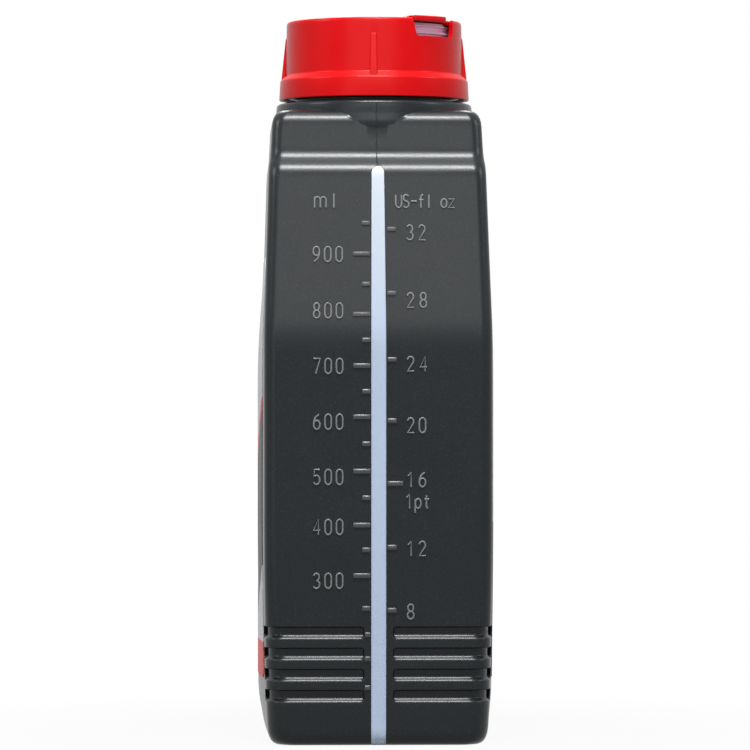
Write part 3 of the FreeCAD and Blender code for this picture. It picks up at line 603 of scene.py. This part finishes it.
def figures(text, left, top, bottom, right):
    """Raised figures whose box is given by its place in the picture, laid on the narrow face."""
    strokes = []
    # The face is about 45 mm nearer than the axis, and leans back above the crease.
    z_bottom = VIEW_HEIGHT * 1000 + (HORIZON_Y - bottom) * 0.3072 + STROKE_RADIUS
    z_top = VIEW_HEIGHT * 1000 + (HORIZON_Y - top) * 0.3072 - STROKE_RADIUS
    near = 0.3072
    if z_bottom > CREASE:
        near = 0.3072 + 0.0019 * (0.5 * (z_bottom + z_top) - CREASE) / 52.0
    x_left = (left - MIDDLE_X) * near - 1.2 + STROKE_RADIUS
    x_right = (right - MIDDLE_X) * near - 1.2 - STROKE_RADIUS
    tall = z_top - z_bottom
    pitch = (x_right - x_left - FIGURE_WIDTH) / max(len(text) - 1, 1)
    for place, mark in enumerate(text):
        if mark == " ":
            continue
        for stroke in STROKES[mark]:
            points = []
            for u, v in stroke:
                x = x_left + place * pitch + u * FIGURE_WIDTH
                points.append(on_front(x, z_bottom + v * tall, 0.2))
            strokes.append(points)
    return strokes


SCALE_TEXTS = [
    ("ml", 313.5, 192, 208, 338), ("900", 311.5, 245.6, 262.6, 343), ("800", 311.5, 302.3, 319.2, 343),
    ("700", 311.5, 357.6, 374.6, 343), ("600", 311.5, 413.4, 430.4, 343), ("500", 311.5, 468.6, 485.6, 343),
    ("400", 311.5, 518.6, 535.6, 343), ("300", 311.5, 572.4, 589.4, 343),
    ("US-fl oz", 394.3, 193, 208, 455.7), ("32", 405.5, 223.7, 240.6, 426), ("28", 405.5, 291.9, 308.6, 427),
    ("24", 405.5, 355.7, 372.1, 427), ("20", 405.5, 417, 433.7, 426), ("16", 405.5, 471.5, 487.9, 426),
    ("1pt", 404, 493.5, 509.4, 430.5), ("12", 405.5, 540.5, 556.8, 426), ("8", 405.5, 603.4, 620.2, 414),
]


def rods(strokes, radius, name="strokes", sides=3):
    """Round rods along strokes, as one mesh."""
    path = bpy.data.curves.new(name, "CURVE")
    path.dimensions = "3D"
    path.bevel_depth = radius
    path.bevel_resolution = sides
    path.use_fill_caps = True
    for points in strokes:
        run = path.splines.new("POLY")
        run.points.add(len(points) - 1)
        for target, point in zip(run.points, points):
            target.co = (*point, 1.0)
    holder = bpy.data.objects.new(name, path)
    bpy.context.scene.collection.objects.link(holder)
    graph = bpy.context.evaluated_depsgraph_get()
    data = bpy.data.meshes.new_from_object(holder.evaluated_get(graph))
    bpy.data.objects.remove(holder)
    return data


all_strokes = []
for text, left, top, bottom, right in SCALE_TEXTS:
    all_strokes += figures(text, left, top, bottom, right)

LEFT_LONG = [151.6, 132.9, 117.1, 101.4, 84.7, 68.1, 52.6]
LEFT_SHORT = [161.1, 142.2, 125.0, 109.2, 93.1, 76.5, 60.5, 42.5]
RIGHT_SHORT = [159.2, 139.4, 119.0, 100.2, 61.3, 41.9]
RIGHT_PINT = [80.9]
LAND_MARKS = [34.4, 27.0, 18.1]
# Section of a bar: how far each corner stands out of the face, and its height.
BAR_SECTION = [(-0.4, -0.95), (0.5, -0.87), (0.5, 0.16), (0.24, 0.62), (-0.4, 0.66)]


def bar(left, right, z):
    """A raised bar with a sloped upper side that lies on the narrow face."""
    low, high = on_front(left, z - 1.5), on_front(left, z + 1.5)
    tilt = math.atan2(high.y - low.y, 3.0)
    middle = 0.5 * (low + high)
    form = bmesh.new()
    face = form.faces.new([form.verts.new((left, -out, up)) for out, up in BAR_SECTION])
    moved = bmesh.ops.extrude_face_region(form, geom=[face])["geom"]
    bmesh.ops.translate(form, verts=[v for v in moved if isinstance(v, bmesh.types.BMVert)],
                        vec=(right - left, 0, 0))
    bmesh.ops.recalc_face_normals(form, faces=form.faces)
    bmesh.ops.bevel(form, geom=form.edges[:], offset=0.1, offset_type="OFFSET", segments=2, profile=0.5,
                    affect="EDGES", material=-1)
    bmesh.ops.rotate(form, cent=(0, 0, 0), matrix=Matrix.Rotation(-tilt, 3, "X"), verts=form.verts)
    bmesh.ops.translate(form, vec=(0, middle.y, z), verts=form.verts)
    data = bpy.data.meshes.new("bar")
    form.to_mesh(data)
    form.free()
    return data


figure_strokes = [rods(all_strokes, STROKE_RADIUS)]
bars = []
for heights, left, right in ((LEFT_LONG, -7.85, -2.55), (LEFT_SHORT, -5.1, -2.55), (LAND_MARKS, -4.3, -2.55),
                             (RIGHT_SHORT, 2.7, 5.45), (RIGHT_PINT, 2.7, 7.5)):
    bars += [bar(left, right, z) for z in heights]

# The parting line of the mould stands up as a thin crooked ridge above the strip.
seam_points = []
for step in range(40):
    z = 179.3 + 19.6 * step / 39
    wander = 0.06 * math.sin(1.9 * step) + 0.05 * math.sin(0.7 * step + 1.0)
    seam_points.append(on_front(wander - 0.22, z, 0.0))
seams = [rods([seam_points], 0.17)]
squiggle = [(-0.25, 179.9), (-0.1, 179.5), (0.25, 179.2), (0.5, 178.9), (0.4, 178.4), (0.2, 178.1)]
seams.append(rods([[on_front(x, z, 0.05) for x, z in squiggle]], 0.14))

joined = bmesh.new()
joined.from_mesh(whole.data)
raised = joined.verts.layers.float.new("raised")
# Share of painted highlight on each kind of raised piece: full on the figures, less on the bars, none on the seam.
for share, pieces in ((1.0, figure_strokes), (0.3, bars), (0.0, seams)):
    count = len(joined.verts)
    for data in pieces:
        joined.from_mesh(data)
    joined.verts.ensure_lookup_table()
    for vert in joined.verts[count:]:
        vert[raised] = share
joined.to_mesh(whole.data)
joined.free()

anthracite = Finish("anthracite_plastic")
grain = anthracite.noise(0.55, 3.0, 0.6)
cloud = anthracite.noise(18.0, 3.0, 0.55)
body_x, body_y, body_z = anthracite.place()
speck = grain.above(0.62, 0.16)
tone = anthracite.mix(cloud, (0.005, 0.007, 0.0084), (0.007, 0.0094, 0.011))
# Painted highlight: the raised strokes and bars are coloured lighter than the face, standing in for the light they
# catch.
painted_highlight_share = anthracite.node("ShaderNodeAttribute", {"attribute_name": "raised"}, output=2)
grained = anthracite.mix(speck * 0.3, tone, (0.035, 0.038, 0.041))
anthracite_material = anthracite.surface({
    "Base Color": anthracite.mix(painted_highlight_share, grained, (0.125, 0.13, 0.135)),
    "Roughness": 0.25 + 0.08 * cloud,
    "IOR": 1.5,
    "Specular IOR Level": 0.22,
    "Normal": anthracite.bump(grain, 0.06, 0.2),
})
bottle = finished(whole, "bottle_body", "bottle", anthracite_material, 38.0)
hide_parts("bottle")

# Level strip.
# A band of natural, milky polyethylene that is extruded with the body and runs through its
# wall, so that the oil's level shows against the scale.
milky = Finish("milky_plastic")
strip_x, strip_y, strip_z = milky.place()
height_share = strip_z / 180.0
# Painted light and shade down the strip: lighter at the foot and at its round top end, a little darker from the
# middle up.
painted_light_by_height = height_share.colours(
    (0.0, (0.4, 0.48, 0.59)), (0.05, (0.33, 0.4, 0.52)), (0.1, (0.33, 0.395, 0.51)),
    (0.6, (0.32, 0.385, 0.48)), (0.75, (0.31, 0.365, 0.45)), (0.98, (0.385, 0.42, 0.465)))
# Painted shade: the strip's edges, where it meets the body, are coloured darker.
painted_edge_shade = abs(strip_x).above(2.1, 0.6)
strip_material = milky.surface({
    "Base Color": milky.mix(painted_edge_shade * 0.5, painted_light_by_height, (0.2, 0.24, 0.3)),
    "Roughness": 0.34 + 0.08 * milky.noise(6.0),
    "IOR": 1.5,
    "Specular IOR Level": 0.25,
    "Subsurface Weight": 0.15,
    "Subsurface Radius": (0.003, 0.003, 0.003),
    "Subsurface Scale": 0.3,
    "Normal": milky.bump(milky.noise(1.2), 0.03, 0.3),
})
level_strip = finished(strip, "level_strip", "bottle", strip_material, 38.0)
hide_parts("view_strip")

# Labels.
# Two silver-grey film labels that are laid in the mould and sit on the bulged broad faces.
# Their print is plain fields of colour.
LABEL_LOW, LABEL_HIGH, LABEL_HALF, LABEL_CORNER = 20.4, 150.3, 35.2, 4.0


def label_form(side):
    """A thin film on one broad face, from rings of a round-cornered outline."""
    half_tall = 0.5 * (LABEL_HIGH - LABEL_LOW)
    middle = 0.5 * (LABEL_HIGH + LABEL_LOW)
    outline = []
    for corner_y, corner_z, start in ((1, 1, 0), (-1, 1, 90), (-1, -1, 180), (1, -1, 270)):
        centre = (corner_y * (LABEL_HALF - LABEL_CORNER), corner_z * (half_tall - LABEL_CORNER))
        outline += arc(*centre, LABEL_CORNER, LABEL_CORNER, start, start + 90, 6)
    fine = []
    for index, spot in enumerate(outline):
        following = outline[(index + 1) % len(outline)]
        gap = math.dist(spot, following)
        parts = max(1, round(gap / 6.0))
        fine += [(spot[0] + (following[0] - spot[0]) * p / parts, spot[1] + (following[1] - spot[1]) * p / parts)
                 for p in range(parts)]
    rings = 14
    form = bmesh.new()
    bmesh.ops.create_grid(form, x_segments=len(fine), y_segments=rings, size=1.0)
    for vert in form.verts:
        column = round(0.5 * (vert.co.x + 1.0) * len(fine)) % len(fine)
        reach = 0.5 * (vert.co.y + 1.0)
        y, z = fine[column][0] * reach, middle + fine[column][1] * reach
        spot, _, _, _ = surface_tree.ray_cast(Vector((side * 100.0, y, z)), Vector((-side, 0, 0)))
        vert.co = (spot.x + side * 0.02, y, z)
    bmesh.ops.remove_doubles(form, verts=form.verts, dist=1e-4)
    bmesh.ops.recalc_face_normals(form, faces=form.faces)
    form.faces.ensure_lookup_table()
    if form.faces[0].normal.x * side < 0:
        bmesh.ops.reverse_faces(form, faces=form.faces)
    bmesh.ops.solidify(form, geom=form.faces[:], thickness=-0.16)
    bmesh.ops.recalc_face_normals(form, faces=form.faces)
    return form


def label_finish(name, along, accent):
    """Silver film with a dark wedge; the line over it and the foot have the accent's colour."""
    film = Finish(name)
    _, label_y, label_z = film.place()
    run = label_y * along
    silver = film.mix(film.noise(9.0, 2.0), (0.42, 0.42, 0.44), (0.56, 0.56, 0.58))
    slope = label_z - 0.55 * run
    wedge = slope.above(36.0, 0.25) * (1.0 - slope.above(84.0, 0.25))
    dark = film.mix(wedge, silver, (0.012, 0.012, 0.014))
    band = film.mix(slope.above(84.0, 0.25) * (1.0 - slope.above(88.0, 0.25)), dark, accent)
    foot = film.mix(1.0 - label_z.above(31.5, 0.25), band, accent)
    return film.surface({
        "Base Color": foot,
        "Roughness": 0.38 + 0.1 * film.noise(14.0),
        "IOR": 1.5,
        "Specular IOR Level": 0.12,
        "Normal": film.bump(film.noise(3.0, 2.0), 0.02, 0.4),
    })


for side, name, node, slot, accent in (
        (-1, "front_film", "front_label", "label_film", (0.55, 0.008, 0.013)),
        (1, "back_film", "back_label", "back_label_film", (0.012, 0.012, 0.014))):
    film_piece = finished(scratch_object(label_form(side)), name, "bottle",
                          label_finish(slot, side, accent))
    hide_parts(node)

# Seal ring.
# A flat ring of white foamed plastic that is pressed between the neck's mouth and the insert.
foam = Finish("white_foam")
foam_cells = foam.noise(0.5, 3.0, 0.7)
foam_material = foam.surface({
    "Base Color": foam.mix(foam_cells, (0.72, 0.72, 0.69), (0.86, 0.86, 0.84)),
    "Roughness": 0.8 + 0.1 * foam_cells,
    "Normal": foam.bump(foam_cells, 0.1, 0.5),
})
seal = turned(rounded([(22.4, 212.0, 0.2), (24.6, 212.0, 0.2), (24.6, 213.2, 0.2), (22.4, 213.2, 0.2)], 3), 128)
seal_piece = finished(scratch_object(seal), "foam_ring", "seal", foam_material)
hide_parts("seal_ring")

# Pouring insert.
# Moulded in clear plastic: a flange held in the cap, a ridged dam that shows in the notch, a
# deck with a drain, and a short spout.
CAP_TURN = -2.1
NOTCH_TURN = CAP_TURN + 45.6
HINGE_TURN = NOTCH_TURN + 180.0
HINGE_OFFSET, HINGE_HEIGHT = 25.2, 223.9
SHELF_FRONT, SHELF_HALF, SHELF_LOW, SHELF_TOP = 23.5, 15.0, 219.0, 224.3
KNUCKLE, KNUCKLE_WIDTH = 1.6, 9.0
LUG, LUG_WIDTH, LUG_GAP = 1.7, 3.0, 0.3


def block(x_from, x_to, near, far, low, high, soft=0.0):
    """A box at the hinge: near and far count outwards from the hinge line, low and high upwards."""
    form = bmesh.new()
    bmesh.ops.create_cube(form, size=1.0)
    bmesh.ops.scale(form, vec=(x_to - x_from, far - near, high - low), verts=form.verts)
    if soft > 0:
        bmesh.ops.bevel(form, geom=form.edges[:], offset=soft, offset_type="OFFSET", segments=3, profile=0.5,
                        affect="EDGES", material=-1)
    bmesh.ops.translate(form, vec=(0.5 * (x_from + x_to), -0.5 * (near + far), 0.5 * (low + high)),
                        verts=form.verts)
    return form


def to_hinge(form):
    """Turn a form made at the hinge's own origin to the hinge line of the cap."""
    turn = Matrix.Rotation(math.radians(HINGE_TURN), 4, "Z")
    place = Matrix.Translation((0, -HINGE_OFFSET, HINGE_HEIGHT))
    bmesh.ops.transform(form, matrix=turn @ place, verts=form.verts)
    return scratch_object(form)


def bar_at_hinge(radius, x_from, x_to, soft=0.0):
    """A round bar along the hinge line."""
    form = bmesh.new()
    bmesh.ops.create_cone(form, cap_ends=True, segments=40, radius1=radius, radius2=radius, depth=x_to - x_from)
    if soft > 0:
        ends = [edge for edge in form.edges if abs(edge.verts[0].co.z - edge.verts[1].co.z) < 1e-5]
        bmesh.ops.bevel(form, geom=ends, offset=soft, offset_type="OFFSET", segments=2, profile=0.5,
                        affect="EDGES", material=-1)
    bmesh.ops.rotate(form, cent=(0, 0, 0), matrix=Matrix.Rotation(math.radians(90), 3, "Y"), verts=form.verts)
    bmesh.ops.translate(form, vec=(0.5 * (x_from + x_to), 0, 0), verts=form.verts)
    return to_hinge(form)


def sector(inner, outer, low, high, start, end, soft):
    """A slab of a ring between two angles counted from the front towards the right."""
    form = bmesh.new()
    face = form.faces.new([form.verts.new(spot) for spot in
                           ((inner, 0, low), (outer, 0, low), (outer, 0, high), (inner, 0, high))])
    bmesh.ops.rotate(form, cent=(0, 0, 0), matrix=Matrix.Rotation(math.radians(start - 90), 3, "Z"),
                     verts=form.verts)
    bmesh.ops.spin(form, geom=[face], cent=(0, 0, 0), axis=(0, 0, 1), dvec=(0, 0, 0),
                   angle=math.radians(end - start), steps=24, use_merge=False, use_normal_flip=False,
                   use_duplicate=False)
    bmesh.ops.holes_fill(form, edges=[edge for edge in form.edges if edge.is_boundary], sides=0)
    bmesh.ops.recalc_face_normals(form, faces=form.faces)
    hard = [edge for edge in form.edges if edge.calc_face_angle(0.0) > 0.8]
    bmesh.ops.bevel(form, geom=hard, offset=soft, offset_type="OFFSET", segments=3, profile=0.5,
                    affect="EDGES", material=-1)
    return form


LID_LOW = 224.0
DAM_TOP = 223.7
insert_outline = rounded([
    (12.1, 213.2, 0.3), (25.9, 213.2, 0.3), (25.9, 214.7, 0.3), (24.4, 214.7, 0.2), (24.4, 220.7, 0.1),
    (24.8, 221.0, 0.15), (24.8, 221.4, 0.15), (24.4, 221.7, 0.1), (24.4, 222.9, 0.1), (24.8, 223.2, 0.15),
    (24.8, DAM_TOP, 0.2), (22.8, DAM_TOP, 0.3), (22.8, 214.4, 0.5), (13.2, 214.4, 0.5), (12.4, DAM_TOP, 0.3),
    (11.3, DAM_TOP, 0.3)], 3)
insert = scratch_object(turned(insert_outline, 160))
combine(insert, "DIFFERENCE",
        to_hinge(block(-30, 30, SHELF_FRONT - LUG_GAP - HINGE_OFFSET, 6.0, SHELF_LOW - LUG_GAP - HINGE_HEIGHT, 3.0)),
        to_hinge(block(-2, 2, 16.0 - HINGE_OFFSET, 20.0 - HINGE_OFFSET, -12.0, -8.0)))
combine(insert, "UNION", scratch_object(sector(23.0, 24.7, 223.2, 224.3, NOTCH_TURN - 19, NOTCH_TURN + 16, 0.1)))
clear = Finish("clear_plastic")
clear_x, clear_y, clear_z = clear.place()
# Painted light and shade by height: pink on the ridges and dam for light that comes through the red cap, greyer low
# down in the cap's shade, and a dark thin band at the dam's top face.
painted_pink_light_and_shade = ((clear_z - 213.0) / 11.0).colours(
    (0.0, (0.4, 0.45, 0.56)), (0.66, (0.5, 0.5, 0.66)), (0.74, (0.95, 0.62, 0.85)), (0.8, (0.8, 0.5, 0.72)),
    (0.9, (0.85, 0.55, 0.75)), (0.962, (0.92, 0.64, 0.82)), (0.97, (0.5, 0.43, 0.5)), (0.978, (0.5, 0.43, 0.5)),
    (0.985, (0.95, 0.7, 0.86)), (1.0, (0.95, 0.72, 0.88)))
clear_material = clear.surface({
    "Base Color": painted_pink_light_and_shade,
    "Roughness": 0.16 + 0.06 * clear.noise(4.0),
    "IOR": 1.5,
    "Transmission Weight": 0.15,
    "Normal": clear.bump(clear.noise(2.5), 0.04, 0.4),
})
insert_piece = finished(insert, "pouring_insert", "closure", clear_material, 30.0)
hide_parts("pour_insert")

# Screw cap.
# Moulded in red plastic with a fine spark-eroded grain: flared skirt, four ribs, a notch for
# the lid's tab, and at the back a shelf with two lugs that hold the lid's pins.
cap_outline = rounded([
    (30.05, 200.9, 0.35), (29.73, 207.0, 0.45), (27.93, 208.8, 0.3), (27.65, 225.6, 1.3), (26.15, 225.6, 0.3),
    (26.15, 215.9, 0.2), (24.9, 215.9, 0.2), (24.9, 214.7, 0.2), (26.0, 214.7, 0.0), (26.0, 203.4, 0.2),
    (27.1, 203.4, 0.2), (27.1, 207.0, 0.2), (28.35, 206.2, 0.2), (28.65, 200.9, 0.3)], 5)
cap = scratch_object(turned(cap_outline))


def rib(turn):
    """One tapered rib with soft edges, from the bevel up to its rounded end."""
    form = bmesh.new()
    bmesh.ops.create_cube(form, size=1.0)
    for vert in form.verts:
        high = vert.co.z > 0
        half = 0.9 if high else 1.3
        outer = 27.98 if high else 29.42
        vert.co = (math.copysign(half, vert.co.x), -outer if vert.co.y < 0 else -26.9, 220.6 if high else 206.6)
    front = [e for e in form.edges if all(v.co.y < -27.5 for v in e.verts)]
    bmesh.ops.bevel(form, geom=front, offset=0.42, offset_type="OFFSET", segments=4, profile=0.5, affect="EDGES",
                    material=-1)
    bmesh.ops.rotate(form, cent=(0, 0, 0), matrix=Matrix.Rotation(math.radians(turn), 3, "Z"), verts=form.verts)
    return scratch_object(form)


combine(cap, "UNION", *[rib(CAP_TURN + 90.0 * number) for number in range(4)])
notch_half = [(9.3, 227.0), (8.15, 221.1), (7.9, 220.5), (7.3, 220.0)]
notch_tool = prism(notch_half + [(-x, z) for x, z in reversed(notch_half)], -40.0, -15.0)
bmesh.ops.rotate(notch_tool, cent=(0, 0, 0), matrix=Matrix.Rotation(math.radians(NOTCH_TURN), 3, "Z"),
                 verts=notch_tool.verts)
combine(cap, "DIFFERENCE", scratch_object(notch_tool),
        to_hinge(block(-SHELF_HALF, SHELF_HALF, 20.5 - HINGE_OFFSET, 6.0, SHELF_TOP - HINGE_HEIGHT, 3.0)))
shelf = to_hinge(block(-SHELF_HALF, SHELF_HALF, SHELF_FRONT - HINGE_OFFSET, 6.0, SHELF_LOW - HINGE_HEIGHT,
                       SHELF_TOP - HINGE_HEIGHT))
combine(shelf, "INTERSECT", scratch_object(turned([(0, 200), (26.9, 200), (26.9, 225), (0, 225)], 128, False)))
combine(cap, "UNION", shelf)
slot_half = 0.5 * KNUCKLE_WIDTH + LUG_GAP
for side in (-1, 1):
    ends = sorted((side * slot_half, side * (slot_half + LUG_WIDTH)))
    combine(cap, "UNION", bar_at_hinge(LUG, *ends, 0.2))
combine(cap, "DIFFERENCE", to_hinge(block(-slot_half, slot_half, -3.2, 6.0, -1.9, 3.0)),
        bar_at_hinge(0.95, -slot_half - 2.1, slot_half + 2.1))
combine(cap, "UNION", scratch_object(thread(26.0, 24.9, 206.4, 1.1)))


def red_finish(name):
    """Red plastic: fine grain and slight cloudiness in colour and gloss."""
    red = Finish(name)
    fine = red.noise(0.4, 3.0, 0.6)
    waves = red.noise(11.0, 3.0, 0.5)
    return red.surface({
        "Base Color": red.mix(waves, (0.385, 0.001, 0.0021), (0.44, 0.0013, 0.0027)),
        "Roughness": 0.25 + 0.08 * waves,
        "IOR": 1.45,
        "Specular IOR Level": 0.15,
        "Normal": red.bump(fine, 0.05, 0.35),
    })


cap_piece = finished(cap, "screw_closure", "closure", red_finish("red_plastic"), 32.0)
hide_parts("screw_cap")

# Flip lid.
# The same red plastic: a round plate with a plug for the spout, a thumb tab over the notch
# with a ramp up to it, and a knuckle with two pins that snap into the cap's lugs.
lid_outline = rounded([(0.0, 223.1, 0), (0.0, 225.5, 0), (25.85, 225.5, 0.5), (25.85, LID_LOW, 0.2),
                       (10.95, LID_LOW, 0.2), (10.8, 222.1, 0.2), (9.85, 222.1, 0.2), (9.85, 223.1, 0.2)], 4)
lid = scratch_object(turned(lid_outline[1:] + lid_outline[:1], 160, False))
combine(lid, "DIFFERENCE",
        to_hinge(block(-30, 30, SHELF_FRONT - LUG_GAP - HINGE_OFFSET, 6.0, -8.0, 4.0)),
        scratch_object(sector(22.6, 27.0, 223.5, 224.62, NOTCH_TURN - 20.5, NOTCH_TURN + 17.5, 0.02)))


TAB_START, TAB_END = NOTCH_TURN - 18.3, NOTCH_TURN + 9.8
tab = scratch_object(sector(21.0, 27.65, 224.65, 226.4, TAB_START, TAB_END, 0.3))
ramp_form = sector(21.0, 25.35, 224.2, 226.4, TAB_START - 5.4, TAB_START + 0.3, 0.02)
for vert in ramp_form.verts:
    angle = math.degrees(math.atan2(vert.co.x, -vert.co.y))
    if vert.co.z > 225.6:
        vert.co.z = 225.52 + 0.88 * smooth_step(TAB_START - 5.6, TAB_START + 0.2, angle)
combine(lid, "UNION", tab, scratch_object(ramp_form),
        to_hinge(block(-4.5, 4.5, SHELF_FRONT - LUG_GAP - 1.0 - HINGE_OFFSET, 0.0, LID_LOW - HINGE_HEIGHT + 0.02,
                       1.58)),
        bar_at_hinge(KNUCKLE, -4.5, 4.5, 0.2), bar_at_hinge(0.9, -6.7, 6.7, 0.15))
lid_piece = finished(lid, "lid_with_tab", "lid", red_finish("red_lid_plastic"), 32.0)
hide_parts("flip_lid")
